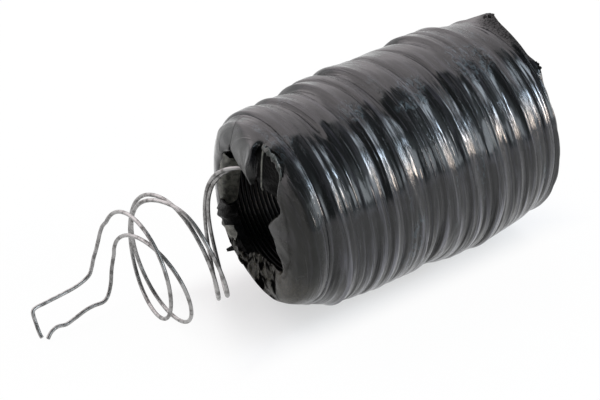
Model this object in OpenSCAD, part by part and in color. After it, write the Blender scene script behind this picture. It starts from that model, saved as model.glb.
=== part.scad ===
// Roll of doubled tie wire wrapped in black film, with both strands drawn out of its torn mouth.
// The roll's axis runs along X, its mouth and the drawn wire lie towards -X, and +Z is up.
// The origin lies in the small flat that the roll rests on, under the middle of its length.

/* [Roll] */
// Length over the film
roll_l = 106; // [98:1:124]
// Radius over the film at the widest place
roll_r = 40; // [38:0.5:46]
// Place of the widest section, from the middle of the length towards the back
widest_x = 4; // [0:1:10]
// Fall of the radius from the widest place to the front shoulder
front_fall = 4.5; // [3:0.5:5.5]
// Fall of the radius from the widest place to the back shoulder
back_fall = 2; // [1:0.5:4]
// Rounding of the front shoulder
front_round = 7; // [5:0.5:8]
// Rounding of the back shoulder
back_round = 4; // [3:0.5:6]
// Depth of the flat that the roll rests on
rest_flat = 0.7; // [0.6:0.1:1]

/* [Wound wire] */
// Thickness of the wire
wire_d = 1.4; // [1.2:0.1:1.5]
// Free radius of the bore
bore_r = 22.5; // [21:0.5:23]
// Gap between neighbouring turns of the open layer
turn_gap = 0.45; // [0.42:0.01:0.6]
// Turns that each strand still has in the open layer
layer_turns = 10; // [4:1:11]
// Depth of the open layer's first turn behind the roll's front
first_turn = 6; // [5:0.5:9]
// Clearance between the open layer and the packed wire round it
layer_gap = 0.3; // [0.2:0.05:0.5]

/* [Drawn wire] */
// Turns round the bore's axis from the open layer to where a strand comes out, in degrees
lead_sweep = 135; // [120:15:150]
// Full turns that stand free outside the mouth
drawn_turns = 2; // [1:1:2]

/* [Film] */
// Thickness of all the passes together
film_t = 1.2; // [1:0.1:1.6]
// Height of the film's crests over the barrel at the widest place
pass_rise = 0.5; // [0.3:0.1:0.6]
// Unit of the rises and falls in the table of the film's crests and valleys
relief_unit = 1; // [0.6:0.1:1.1]
// Thickness of one loose flap
flap_t = 0.6; // [0.4:0.1:0.8]
// Clearance of the film on the wire, and between loose flaps and what they lie on
lay_gap = 0.3; // [0.2:0.05:0.5]
// Radius of the hole in the film at the back
back_hole_r = 23; // [20:0.5:25]

/* [Mouth] */
// How far outside the bore the hood over the mouth begins
hood_rise = 5.5; // [5:0.5:6.5]
// Width of the hood's arch
hood_w = 3; // [2:0.5:5]
// How far the hood stands out from the roll's front
hood_depth = 2.2; // [1.8:0.1:3]
// Half the angle that the hood spans
hood_half_angle = 24; // [20:1:30]
// Width of the tongue's root on its far side
tongue_far_w = 9; // [7:0.5:10]
// Width of the tongue's root on its near side
tongue_near_w = 5; // [4:0.5:6]
// Length of the tongue from its root to its tip
tongue_l = 12; // [9:0.5:12.5]
// Depth of the side lip inside the mouth
side_lip_l = 3.2; // [2:0.1:3.4]
// Unit of the distances and widths in the tables of torn edges
tear_unit = 1; // [0.8:0.05:1.2]

/* [Hidden] */

film_colour = [0.08, 0.08, 0.09];
steel_colour = [0.55, 0.55, 0.57];
core_colour = [0.25, 0.25, 0.26];

axis_z = roll_r - rest_flat;
front_x = -roll_l / 2;
back_x = roll_l / 2;
shoulder_front_x = front_x + front_round;
shoulder_back_x = back_x - back_round;
over = 1;
side_steps = 48;
round_steps = 6;
film_columns = 72;
table_l = 106;
least_film = 0.5;

layer_r = bore_r + wire_d / 2;
turn_pitch = 2 * (wire_d + turn_gap);
layer_front_x = front_x + first_turn;
pocket_r = bore_r + wire_d + layer_gap;
pocket_end_x = layer_front_x + turn_pitch * (layer_turns + 0.5) + wire_d;

wire_sides = 6;
rings_per_turn = 24;
ring_angle = 360 / rings_per_turn;
emerge_angle = 8;
lead_angle = emerge_angle - lead_sweep;
steps_per_bend = 3;

// Each drawn strand, with x counted from the roll's front: centre of its loops at the mouth from
// the roll's axis, centre two turns later from the ground, how far the centre's way bows out between
// them, then pairs of values at the mouth and two turns later: half width, half height, lean of the
// tops, skew of the sides.
strand_a = [[3, 4.5, -11.8], [-36, 19.5, 22.5], [-28, 16, 2], [19.5, 20], [26, 20.5], [4, -0.5], [-2, 0]];
strand_b = [[6, 3.5, -13.8], [-32.5, 15.5, 17], [-39, 12, 18], [19.5, 19.5], [26.5, 19.5], [6, 3], [-1, 3]];

// Bent legs from the last loop down to the free end, with x counted from the roll's front
leg_a = [[-40.5, 39, 19], [-42.5, 39, 14], [-45, 38, 11.5], [-51, 37, 10], [-62.5, 36, 9.5],
         [-67, 35.5, 9.5], [-68.5, 35, 8.5], [-68.5, 34, 5.5], [-68.5, 32.5, 3], [-68.5, 31.5, 2]];
leg_b = [[-37.5, 34, 14], [-39, 33, 8.5], [-41, 32, 5], [-43.5, 31, 4], [-47.5, 30.5, 4.5], [-51, 30, 4.5],
         [-55.5, 30, 3], [-59, 30, 2], [-62.5, 29.5, 3], [-65, 29, 2.5], [-66.5, 28.5, 2]];
// Loop angles at which the legs begin
leg_start_a = 85;
leg_start_b = 73;

// The hood's arch, and the tongue's root, which hangs inside it with its far corner one clearance below
hood_in_r = bore_r + hood_rise;
hood_out_r = hood_in_r + hood_w;
tongue_root_z = axis_z + sqrt(pow(hood_in_r - lay_gap, 2) - pow(tongue_far_w, 2));
tongue_x = front_x - lay_gap - (hood_depth + flap_t) / 2;

// Crests and valleys of the film, each running round the roll. Angles 90 degrees apart: 40 (top), -50 (near
// side), -140 (below) and 130 (far side, half-way between its neighbours). Each: x from the middle of the
// length at the first three angles on a roll of table_l, then the rise over the barrel there.
film_lines = [
    [-46, -46, -46, -0.4, -0.6, -0.3],
    [-41, -41.5, -37.5, -0.6, 0.5, 1.9],
    [-37.5, -36, -34.5, -2, -0.6, 1.2],
    [-35, -30, -30, -1, -0.2, 1],
    [-24, -24, -23, -3.6, -0.7, 0.7],
    [-22.4, -21.6, -21, -1.4, 0.3, 0.7],
    [-17, -18, -17, -1.4, -0.7, 0.1],
    [-14.8, -14.8, -5.5, -1.6, 0.2, -0.4],
    [-10, -9, 0, -2.9, -1.1, -1.9],
    [-8.3, -4, 2.5, -0.9, -0.4, -1.2],
    [-1, 1, 7, -1.5, 0.1, -0.3],
    [5, 5, 11, -1.8, -0.8, 0.2],
    [8, 10, 15, -2, 0, 0.3],
    [11.5, 14.5, 18, -1.3, -0.9, 0.3],
    [22.8, 23.5, 23.5, -2.1, 0.3, 1],
    [24.5, 27.5, 28, 0.3, -0.7, 0.5],
    [30, 31, 32, 0.4, 0.1, 0],
    [33, 34.3, 35, 0.2, -0.6, 0],
    [35.5, 37.5, 38, 0.6, 0.4, -0.2],
    [42, 42.5, 42, -0.5, -0.6, -0.5],
    [45.2, 46, 45.5, -1, -0.1, -1.1],
    [49, 49, 49, -0.7, -0.6, -1.6]];

// Torn edge of the film round the mouth: angle from the top towards +Y, and distance outside the bore
// in tear units
mouth_edge = [[0, 2.5], [30, 2], [60, 1.5], [90, 0], [103, 1.5], [108, 5], [118, 4.5], [127, 5], [131, 0.5],
              [140, 1], [146, 3.5], [154, -1.5], [170, -3.5], [182, -1.5], [196, -3], [214, -3], [232, -5],
              [252, -5.5], [262, -4], [275, -5], [290, -2.5], [315, -1.5], [338, 1]];
// Loose points of torn film at the mouth: angle, distances of foot and tip outside the bore, and width
tatters = [[143, 3.5, 11, 4], [134, 0.5, 5, 6], [176, -4, 3.5, 5], [268, -6, -0.5, 8]];
// Loose edge of the film at the back: angle and distance of its corners outside the back shoulder
back_lip_edge = [[16, -2.5], [8, 1.5], [-6, -1.5], [-20, -3], [-37, -1.5], [-45, -4.5]];
back_lip_in = -7 * tear_unit;

function mix(a, b, t) = a + (b - a) * t;
function smooth(t) = t * t * (3 - 2 * t);
function unit(v) = v / norm(v);
function polar(angle, r) = [r * sin(angle), r * cos(angle)];

// Radius of the roll at x, without the film's crests
function roll_fall(x) = x < widest_x
    ? front_fall * pow((widest_x - x) / (widest_x - shoulder_front_x), 2)
    : back_fall * pow((x - widest_x) / (shoulder_back_x - widest_x), 2);
function barrel_r(x) = roll_r - pass_rise - roll_fall(x);

// A line of the film at angle a, [x, radius]: each value changes smoothly between the four angles
function around(four, a) = let (turn = ((40 - a) % 360 + 360) % 360 / 90, i = floor(turn))
    mix(four[i % 4], four[(i + 1) % 4], smooth(turn - i));
function four_of(line, i, far_least) = [line[i], line[i + 1], line[i + 2],
    max((line[i] + line[i + 2]) / 2, far_least)];
function line_point(i, a) = let (
    line = film_lines[i],
    near_end = i == 0 ? shoulder_front_x : i == len(film_lines) - 1 ? shoulder_back_x : undef,
    x = near_end != undef ? near_end : around(four_of(line, 0, -roll_l), a) * roll_l / table_l,
    settled = smooth(max(1 - abs(180 - (a % 360 + 360) % 360) / 45, 0)),
    rise = mix(relief_unit * around(four_of(line, 3, -1.2), a), 0.1, settled))
    [x, barrel_r(x) + min(max(rise, least_film - film_t), pass_rise + roll_fall(x))];

// Half section of the roll, [radius, x], drawn in by inset on every side
function front_arc(inset) = [for (i = [0 : round_steps - 1])
    let (a = 90 * i / round_steps)
    [barrel_r(shoulder_front_x) - front_round + (front_round - inset) * sin(a),
     shoulder_front_x - (front_round - inset) * cos(a)]];
function back_arc(inset) = [for (i = [round_steps - 1 : -1 : 0])
    let (a = 90 * i / round_steps)
    [barrel_r(shoulder_back_x) - back_round + (back_round - inset) * sin(a),
     shoulder_back_x + (back_round - inset) * cos(a)]];
function side_line(inset) = [for (i = [0 : side_steps])
    let (x = mix(shoulder_front_x, shoulder_back_x, i / side_steps)) [barrel_r(x) - inset, x]];
function roll_section(inset) = concat([[0, front_x + inset]], front_arc(inset),
    side_line(inset), back_arc(inset), [[0, back_x - inset]]);

// Way of a strand: in the open layer, out of it, and in its free loops
function layer_point(a, offset) = [layer_front_x + turn_pitch * ((lead_angle - a) / 360 + offset),
    layer_r * sin(a), axis_z + layer_r * cos(a)];
function loop_point(s, a) = let (
    t = a / 720,
    centre = mix([0, 0, axis_z] + s[0], s[1], t) + s[2] * t * (1 - t),
    half_width = mix(s[3][0], s[3][1], t),
    half_height = mix(s[4][0], s[4][1], t),
    lean = mix(s[5][0], s[5][1], t),
    skew = mix(s[6][0], s[6][1], t))
    [front_x, 0, 0] + centre + [-lean * cos(a) - skew * sin(a), half_width * sin(a), half_height * cos(a)];
function lead_point(s, offset, a) = let (
    w = smooth((a - lead_angle) / lead_sweep),
    wound = layer_point(a, offset),
    free = loop_point(s, a))
    [mix(wound[0], free[0], w * w), mix(wound[1], free[1], w), mix(wound[2], free[2], w)];
function layer_dir(offset) = unit(layer_point(lead_angle + 1, offset) - layer_point(lead_angle - 1, offset));
function emerge_dir(s) = unit(loop_point(s, emerge_angle + 1) - loop_point(s, emerge_angle - 1));

function layer_path(offset) = let (
    deep_angle = lead_angle - 360 * layer_turns,
    first = layer_point(deep_angle, offset),
    second = layer_point(deep_angle + 2, offset))
    concat([first - wire_d * unit(second - first)],
        [for (i = [0 : rings_per_turn * layer_turns]) layer_point(deep_angle + ring_angle * i, offset)],
        [layer_point(lead_angle, offset) + wire_d * layer_dir(offset)]);
function lead_path(s, offset) = let (
    from = layer_point(lead_angle, offset),
    to = loop_point(s, emerge_angle),
    rings = lead_sweep / ring_angle)
    concat([from + wire_d * layer_dir(offset), from + 2 * wire_d * layer_dir(offset)],
        [for (i = [1 : rings - 1]) lead_point(s, offset, lead_angle + ring_angle * i)],
        [to - wire_d * emerge_dir(s), to]);

// Smooth way through points: each is passed with the direction of its two neighbours
function bend(p, q, r, s, t) = 0.5 * (2 * q + (r - p) * t + (2 * p - 5 * q + 4 * r - s) * t * t
    + (3 * q - p - 3 * r + s) * t * t * t);
function bend_through(pts) = [for (i = [1 : len(pts) - 3]) for (k = [0 : steps_per_bend - 1])
    bend(pts[i - 1], pts[i], pts[i + 1], pts[i + 2], k / steps_per_bend)];

function drawn_path(s, leg, leg_start) = let (
    from = loop_point(s, emerge_angle),
    last_angle = 360 * drawn_turns + leg_start,
    rings = floor((last_angle - emerge_angle) / ring_angle),
    shift = loop_point(s, last_angle) - loop_point(s, 720 + leg_start),
    feet = [for (p = leg) p + [front_x + shift[0], shift[1], 0]],
    end = feet[len(feet) - 1],
    end_dir = unit(end - feet[len(feet) - 2]),
    loops = [for (i = [1 : rings - 1]) loop_point(s, emerge_angle + ring_angle * i)],
    way = concat([loops[rings - 2]], [loop_point(s, last_angle)], feet, [end + end_dir]))
    concat([from, from + wire_d * emerge_dir(s)], loops, bend_through(way), [end, end + wire_d * end_dir]);

// Directions along a path, and a side direction carried along it without twist
function path_dir(p, i) = unit(p[min(i + 1, len(p) - 1)] - p[max(i - 1, 0)]);
function carried(v, dir) = unit(v - (v * dir) * dir);
function path_sides(p) = [for (i = 0, v = carried([1, 0.1, 0.2], path_dir(p, 0)); i < len(p);
    i = i + 1, v = carried(v, path_dir(p, min(i, len(p) - 1)))) v];

// Least gap of a path to itself, measured between points half a turn or more apart
function self_gap(p) = min([for (i = [0 : len(p) - 1]) for (j = [i + rings_per_turn / 2 : 1 : len(p) - 1])
    norm(p[i] - p[j])]) - wire_d;

module tube(p) {
    n = len(p);
    sides = path_sides(p);
    points = [for (i = [0 : n - 1]) let (d = path_dir(p, i), u = sides[i], w = cross(d, u))
        for (k = [0 : wire_sides - 1]) let (a = 360 * k / wire_sides)
        p[i] + wire_d / 2 * (cos(a) * u + sin(a) * w)];
    walls = [for (i = [0 : n - 2]) for (k = [0 : wire_sides - 1])
        let (a = i * wire_sides + k, b = i * wire_sides + (k + 1) % wire_sides)
        for (t = [[a, a + wire_sides, b], [b, a + wire_sides, b + wire_sides]]) t];
    first_cap = [for (k = [1 : wire_sides - 2]) [0, k, k + 1]];
    last = (n - 1) * wire_sides;
    last_cap = [for (k = [1 : wire_sides - 2]) [last, last + k + 1, last + k]];
    polyhedron(points = points, faces = concat(walls, first_cap, last_cap), convexity = 10);
}

// Turns a section [radius, x] round the roll's axis
module turned() {
    translate([0, 0, axis_z]) rotate([0, 90, 0]) rotate_extrude($fn = 96) children();
}

// A sector of a turned section, from one angle to another, measured from the top towards +Y
module turned_sector(from, to) {
    translate([0, 0, axis_z]) rotate([0, 90, 0]) rotate(180 - to)
        rotate_extrude(angle = to - from, $fn = 96) children();
}

// A flat plate across the roll's axis, drawn in [y, z from the axis]
module plate(x, t) {
    translate([x, 0, axis_z]) rotate([90, 0, 90]) linear_extrude(t) children();
}

module rest_cut() {
    difference() {
        children();
        translate([front_x - over, -roll_r, -roll_r]) cube([roll_l + 2 * over, 2 * roll_r, roll_r]);
    }
}

module film_section() {
    difference() {
        polygon(roll_section(0));
        polygon(roll_section(film_t));
    }
}

// Solid inside the film's outer face over the barrel
module film_body() {
    rows = len(film_lines);
    points = concat([for (i = [0 : rows - 1]) for (k = [0 : film_columns - 1])
        let (a = 360 * k / film_columns, p = line_point(i, a), q = polar(a, p[1]))
        [p[0], q[0], axis_z + q[1]]]);
    walls = [for (i = [0 : rows - 2]) for (k = [0 : film_columns - 1])
        let (a = i * film_columns + k, b = i * film_columns + (k + 1) % film_columns)
        for (t = [[a, b, a + film_columns], [b, b + film_columns, a + film_columns]]) t];
    first_cap = [for (k = [film_columns - 1 : -1 : 0]) k];
    last_cap = [for (k = [0 : film_columns - 1]) (rows - 1) * film_columns + k];
    polyhedron(points = points, faces = concat(walls, [first_cap, last_cap]), convexity = 10);
}

module coil_core() {
    color(core_colour) turned() difference() {
        polygon(roll_section(film_t + lay_gap));
        translate([-over, front_x]) square([bore_r + over, roll_l]);
        translate([-over, front_x]) square([pocket_r + over, pocket_end_x - front_x]);
    }
}

module inner_turns_a() {
    color(steel_colour) tube(layer_path(0));
}

module inner_turns_b() {
    color(steel_colour) tube(layer_path(0.5));
}

module lead_wire_a() {
    color(steel_colour) tube(lead_path(strand_a, 0));
}

module lead_wire_b() {
    color(steel_colour) tube(lead_path(strand_b, 0.5));
}

module drawn_wire_a() {
    color(steel_colour) tube(drawn_path(strand_a, leg_a, leg_start_a));
}

module drawn_wire_b() {
    color(steel_colour) tube(drawn_path(strand_b, leg_b, leg_start_b));
}

module film_wrap() {
    color(film_colour) rest_cut() difference() {
        film_body();
        turned() polygon(roll_section(film_t));
    }
}

module film_front_fold() {
    color(film_colour) difference() {
        turned() intersection() {
            film_section();
            translate([0, front_x - over]) square([2 * roll_r, front_round + over]);
        }
        plate(front_x - over, film_t + 2 * over)
            polygon([for (p = mouth_edge) polar(p[0], bore_r + tear_unit * p[1])]);
    }
}

module film_back_fold() {
    color(film_colour) turned() intersection() {
        film_section();
        translate([back_hole_r, shoulder_back_x]) square([2 * roll_r, back_round + over]);
    }
}

module film_hood() {
    color(film_colour) turned_sector(-hood_half_angle, hood_half_angle)
        translate([hood_in_r, front_x - lay_gap - hood_depth]) square([hood_out_r - hood_in_r, hood_depth]);
}

module film_tongue() {
    far = tongue_far_w;
    near = tongue_near_w;
    color(film_colour) plate(tongue_x, flap_t) translate([0, tongue_root_z - axis_z])
        polygon([[far, 0], [0.9 * far, -0.25 * tongue_l], [0.5 * far, -0.45 * tongue_l],
                 [0.3 * far, -0.65 * tongue_l], [0, -0.95 * tongue_l], [-0.5 * near, -tongue_l],
                 [-0.7 * near, -0.6 * tongue_l], [-near, 0]]);
}

module film_side_lip() {
    color(film_colour) turned_sector(56, 102)
        translate([pocket_r - lay_gap - flap_t, front_x + film_t + lay_gap]) square([flap_t, side_lip_l]);
}

module film_tatters() {
    color(film_colour) for (t = tatters) plate(front_x - lay_gap - flap_t, flap_t) rotate(-t[0])
        polygon([[-tear_unit * t[3] / 2, bore_r + tear_unit * t[1]], [0, bore_r + tear_unit * t[2]],
                 [tear_unit * t[3] / 2, bore_r + tear_unit * t[1]]]);
}

module film_back_lip() {
    first = back_lip_edge[0][0];
    last = back_lip_edge[len(back_lip_edge) - 1][0];
    shoulder_r = barrel_r(shoulder_back_x);
    inner_steps = 6;
    outer = [for (p = back_lip_edge) polar(p[0], shoulder_r + tear_unit * p[1])];
    inner = [for (i = [0 : inner_steps]) polar(mix(last, first, i / inner_steps), shoulder_r + back_lip_in)];
    color(film_colour) plate(back_x + lay_gap, flap_t) polygon(concat(outer, inner));
}

echo(least_gap_inner_turns_a = self_gap(layer_path(0)), least_gap_inner_turns_b = self_gap(layer_path(0.5)));
echo(least_gap_drawn_wire_a = self_gap(drawn_path(strand_a, leg_a, leg_start_a)),
     least_gap_drawn_wire_b = self_gap(drawn_path(strand_b, leg_b, leg_start_b)));

coil_core();
inner_turns_a();
inner_turns_b();
lead_wire_a();
lead_wire_b();
drawn_wire_a();
drawn_wire_b();
film_wrap();
film_front_fold();
film_back_fold();
film_hood();
film_tongue();
film_side_lip();
film_tatters();
film_back_lip();
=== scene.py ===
import math

import bpy
import numpy as np
from mathutils import Matrix, Vector


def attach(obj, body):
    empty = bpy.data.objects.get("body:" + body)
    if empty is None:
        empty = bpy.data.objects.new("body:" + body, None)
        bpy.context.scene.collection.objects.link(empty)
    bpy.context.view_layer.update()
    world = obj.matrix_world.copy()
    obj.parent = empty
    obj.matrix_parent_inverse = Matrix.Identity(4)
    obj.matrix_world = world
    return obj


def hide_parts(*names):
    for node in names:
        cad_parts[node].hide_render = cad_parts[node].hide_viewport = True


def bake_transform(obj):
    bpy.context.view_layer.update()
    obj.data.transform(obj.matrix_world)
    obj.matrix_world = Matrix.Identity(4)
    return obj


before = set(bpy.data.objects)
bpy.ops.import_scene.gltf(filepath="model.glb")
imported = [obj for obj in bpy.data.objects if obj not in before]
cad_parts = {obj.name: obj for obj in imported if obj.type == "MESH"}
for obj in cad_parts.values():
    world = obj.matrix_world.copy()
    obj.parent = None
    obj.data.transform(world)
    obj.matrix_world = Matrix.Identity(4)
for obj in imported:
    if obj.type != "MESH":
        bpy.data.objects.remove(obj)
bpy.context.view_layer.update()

# Shapes are worked out in millimetres, with x along the roll from its mouth, and turned to metres
# where a mesh is made. Angles round the roll count in degrees from the top towards the far side, +Y.
mm = 0.001
roll = {"axisHeight": 39.3, "frontX": -53.0, "shoulderFrontX": -46.0, "shoulderBackX": 49.0,
        "widestX": 4.0, "radius": 39.5, "frontFall": 4.5, "frontReach": 50.0,
        "backFall": 2.0, "backReach": 45.0}


# ---- camera and light ----

def placeCamera():
    view = {"place": (-0.3244, -0.42688, 0.39124), "lens": 109.95,
            "right": (0.8182, -0.57453, -0.02138), "up": (0.33888, 0.45189, 0.8252)}
    data = bpy.data.cameras.new("camera")
    data.lens = view["lens"]
    data.sensor_width = 36
    data.clip_start, data.clip_end = 0.01, 20
    camera = bpy.data.objects.new("camera", data)
    right = Vector(view["right"]).normalized()
    up = Vector(view["up"])
    up = (up - right * up.dot(right)).normalized()
    axes = Matrix((right, up, right.cross(up))).transposed()
    camera.matrix_world = Matrix.Translation(view["place"]) @ axes.to_4x4()
    bpy.context.scene.collection.objects.link(camera)
    bpy.context.scene.camera = camera


# ---- node maths ----

def plug(tree, place, value):
    # an input takes a link from another node, or a plain value
    if isinstance(value, Socket):
        tree.links.new(value.socket, place)
    else:
        place.default_value = value


class Socket:
    # a node's output socket that takes plain arithmetic, each operation being a Math node
    def __init__(self, tree, socket):
        self.tree = tree
        self.socket = socket

    def math(self, operation, *values):
        node = self.tree.nodes.new("ShaderNodeMath")
        node.operation = operation
        for place, value in zip(node.inputs, values):
            plug(self.tree, place, value)
        return Socket(self.tree, node.outputs[0])

    def size(self):
        return self.math("ABSOLUTE", self)

    def between(self, low, high):
        # 0 below low, 1 above high and a smooth rise between them
        node = self.tree.nodes.new("ShaderNodeMapRange")
        node.interpolation_type = "SMOOTHSTEP"
        self.tree.links.new(self.socket, node.inputs["Value"])
        node.inputs["From Min"].default_value = low
        node.inputs["From Max"].default_value = high
        return Socket(self.tree, node.outputs["Result"])


# Operations on two values, as operators with the socket on either side and as methods
operators = {"add": "ADD", "sub": "SUBTRACT", "mul": "MULTIPLY", "truediv": "DIVIDE", "pow": "POWER"}
methods = {"least": "MINIMUM", "most": "MAXIMUM", "angleWith": "ARCTAN2"}
for name, kind in operators.items():
    setattr(Socket, "__" + name + "__", lambda self, other, kind=kind: self.math(kind, self, other))
    setattr(Socket, "__r" + name + "__", lambda self, other, kind=kind: self.math(kind, other, self))
for name, kind in methods.items():
    setattr(Socket, name, lambda self, other, kind=kind: self.math(kind, self, other))


class Finish:
    # a node tree under construction, of a material or of the world
    def __init__(self, owner):
        owner.use_nodes = True
        self.owner = owner
        self.tree = owner.node_tree
        self.tree.nodes.clear()

    def node(self, kind, settings=None, output=0, **values):
        # a node with its settings and the values or links of its sockets, by name or as input0, input1...
        node = self.tree.nodes.new(kind)
        for name, value in (settings or {}).items():
            setattr(node, name, value)
        for name, value in values.items():
            numbered = name.startswith("input")
            plug(self.tree, node.inputs[int(name[5:]) if numbered else name.replace("_", " ")], value)
        return Socket(self.tree, node.outputs[output])

    def objectPlace(self):
        # x, y and z on the piece's own Object coordinates, in millimetres
        place = self.node("ShaderNodeTexCoord", output="Object")
        large = self.node("ShaderNodeVectorMath", {"operation": "SCALE"}, input0=place, Scale=1 / mm)
        return [self.node("ShaderNodeSeparateXYZ", input0=large, output=i) for i in range(3)]

    def joined(self, x, y, z):
        return self.node("ShaderNodeCombineXYZ", X=x, Y=y, Z=z)

    def noise(self, place, scale, detail=3.0, roughness=0.5, distortion=0.0):
        return self.node("ShaderNodeTexNoise", output="Fac", Vector=place, Scale=scale, Detail=detail,
                         Roughness=roughness, Distortion=distortion)

    def mixedColour(self, share, first, second):
        node = self.tree.nodes.new("ShaderNodeMix")
        node.data_type = "RGBA"
        for i, value in ((0, share), (6, first), (7, second)):
            plug(self.tree, node.inputs[i], (*value, 1) if isinstance(value, tuple) else value)
        return Socket(self.tree, node.outputs[2])

    def bump(self, height, distance, strength=1.0, normal=None):
        extra = {"Normal": normal} if normal else {}
        return self.node("ShaderNodeBump", Height=height, Distance=distance, Strength=strength, **extra)

    def gloss(self, colour, rough, **more):
        return self.node("ShaderNodeBsdfPrincipled", Base_Color=colour, Roughness=rough, **more)

    def surface(self, shader, kind="ShaderNodeOutputMaterial"):
        self.tree.links.new(shader.socket, self.tree.nodes.new(kind).inputs["Surface"])
        return self.owner


def softBox(sky, towards, box):
    # radiance of a rectangular glow with soft edges, seen in one direction, and its colour from foot to top
    centre = Vector(box["towards"]).normalized()
    right = centre.cross(Vector((0, 0, 1))).normalized()
    up = right.cross(centre)
    dot = lambda v: towards[0] * v.x + towards[1] * v.y + towards[2] * v.z
    ahead = dot(centre)
    across, above = dot(right) / ahead.most(0.05), dot(up) / ahead.most(0.05)
    width, height = box["half"]
    inside = (1 - across.size().between(width * (1 - box["soft"]), width * (1 + box["soft"])))
    inside = inside * (1 - above.size().between(height * (1 - box["soft"]), height * (1 + box["soft"])))
    colour = sky.mixedColour(above.between(-height, height), box["foot"], box["top"])
    return inside * ahead.between(0.0, 0.2) * box["radiance"], colour


def lightStudio():
    # The wall behind the roll glows brighter with height and towards the mouth. The rest of the room is dim
    # above a pale horizon, with three soft boxes and a faint wide glow. For the camera the room is white.
    light = {"wallLow": 1.0, "wallRise": 2.2, "wallTop": 1.6, "wallEdge": 0.20, "wallSoft": 0.09,
             "wallMiddle": 1.72, "wallSlope": 1.45, "wallLeast": 0.6, "wallMost": 1.4,
             "dim": 0.13, "horizon": (0.03, 0.16), "pale": 0.35, "paleGloss": 0.55,
             "wallColour": (1.0, 0.94, 0.96), "dimColour": (0.87, 0.97, 0.96),
             "horizonColour": (0.98, 0.95, 1.0)}
    boxes = [
        {"towards": (0.5, -0.74, 0.34), "half": (0.42, 0.18), "soft": 0.2, "radiance": 3.5,
         "foot": (0.88, 0.95, 1.0), "top": (0.84, 0.93, 1.0)},
        {"towards": (0.87, -0.40, 0.27), "half": (0.06, 0.28), "soft": 0.35, "radiance": 44.0,
         "foot": (1.0, 0.84, 0.72), "top": (0.66, 0.82, 1.0)},
        {"towards": (0.80, -0.07, 0.55), "half": (0.12, 0.24), "soft": 0.4, "radiance": 6.0,
         "foot": (0.82, 0.90, 1.0), "top": (0.74, 0.88, 1.0)},
        {"towards": (0.55, -0.70, 0.42), "half": (0.75, 0.50), "soft": 0.6, "radiance": 0.7,
         "foot": (0.80, 0.90, 1.0), "top": (0.80, 0.95, 1.0)},
    ]
    world = bpy.data.worlds.new("studio")
    bpy.context.scene.world = world
    sky = Finish(world)
    generated = sky.node("ShaderNodeTexCoord", output="Generated")
    towards = [sky.node("ShaderNodeSeparateXYZ", input0=generated, output=i) for i in range(3)]
    height = towards[2].most(0.0)
    wall = (towards[1] - height * light["wallEdge"]).between(0.0, light["wallSoft"])
    wallGlow = (height * light["wallRise"] + light["wallLow"]).least(light["wallTop"])
    rest = 1 - height.between(*light["horizon"])
    ray = lambda name: sky.node("ShaderNodeLightPath", output=name)
    seen = ray("Is Camera Ray").most(ray("Is Transmission Ray"))
    pale = (ray("Is Glossy Ray") * light["paleGloss"] + light["pale"]) * rest
    along = light["wallMiddle"] - towards[0] * light["wallSlope"]
    wallGlow = wallGlow * along.most(light["wallLeast"]).least(light["wallMost"])
    room = wall * wallGlow + (1 - wall) * (pale + light["dim"])
    strength = seen + (1 - seen) * room
    colour = sky.mixedColour(rest, light["dimColour"], light["horizonColour"])
    colour = sky.mixedColour(wall, colour, light["wallColour"])
    colour = sky.mixedColour(seen, colour, (1.0, 1.0, 1.0))
    shader = sky.node("ShaderNodeBackground", Color=colour, Strength=strength)
    for box in boxes:
        radiance, colour = softBox(sky, towards, box)
        glow = sky.node("ShaderNodeBackground", Color=colour, Strength=radiance * (1 - seen))
        shader = sky.node("ShaderNodeAddShader", input0=shader, input1=glow)
    sky.surface(shader, "ShaderNodeOutputWorld")


def layFloor():
    # a plain pale floor: what the camera and reflections see is lifted towards white, less so under the roll,
    # where its shadow stays and the weaker lift darkens the floor further as a painted shadow along the roll
    ground = {"half": 3.0, "lift": 0.53, "farLift": 0.97, "side": (0.014, 0.032), "end": (0.052, 0.085)}
    mesh = bpy.data.meshes.new("floor")
    half = ground["half"]
    corners = [(-half, -half, 0), (half, -half, 0), (half, half, 0), (-half, half, 0)]
    mesh.from_pydata(corners, [], [(0, 1, 2, 3)])
    floor = bpy.data.objects.new("floor", mesh)
    bpy.context.scene.collection.objects.link(floor)
    pale = Finish(bpy.data.materials.new("paleFloor"))
    ray = lambda name: pale.node("ShaderNodeLightPath", output=name)
    seen = ray("Is Camera Ray").most(ray("Is Glossy Ray")).most(ray("Is Transmission Ray"))
    place = pale.node("ShaderNodeTexCoord", output="Object")
    x, y = (pale.node("ShaderNodeSeparateXYZ", input0=place, output=i).size() for i in range(2))
    far = y.between(*ground["side"]).most(x.between(*ground["end"]))  # in metres
    # the lift is weaker near the roll, a painted shadow round its footprint; far off the floor is near white
    lift = far * (ground["farLift"] - ground["lift"]) + ground["lift"]
    matt = pale.node("ShaderNodeBsdfDiffuse", Color=(0.9, 0.9, 0.9, 1))
    glow = pale.node("ShaderNodeEmission", Color=(1, 1, 1, 1), Strength=1.0)
    mixed = pale.node("ShaderNodeMixShader", Fac=seen * lift, input1=matt, input2=glow)
    mesh.materials.append(pale.surface(mixed))


# ---- meshes ----

def eased(t):
    t = np.clip(t, 0.0, 1.0)
    return t * t * (3 - 2 * t)


def curveThrough(points, count):
    # a smooth curve through points along the first axis, passed in the direction of their neighbours
    p = np.asarray(points, float)
    p = np.concatenate([[2 * p[0] - p[1]], p, [2 * p[-1] - p[-2]]])
    spans = len(p) - 3
    t = np.linspace(0, spans, count)
    i = np.minimum(t.astype(int), spans - 1)
    f = (t - i).reshape((-1,) + (1,) * (p.ndim - 1))
    a, b, c, d = p[i], p[i + 1], p[i + 2], p[i + 3]
    bend, twist = 2 * a - 5 * b + 4 * c - d, 3 * b - a - 3 * c + d
    return 0.5 * (2 * b + (c - a) * f + bend * f ** 2 + twist * f ** 3)


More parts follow.
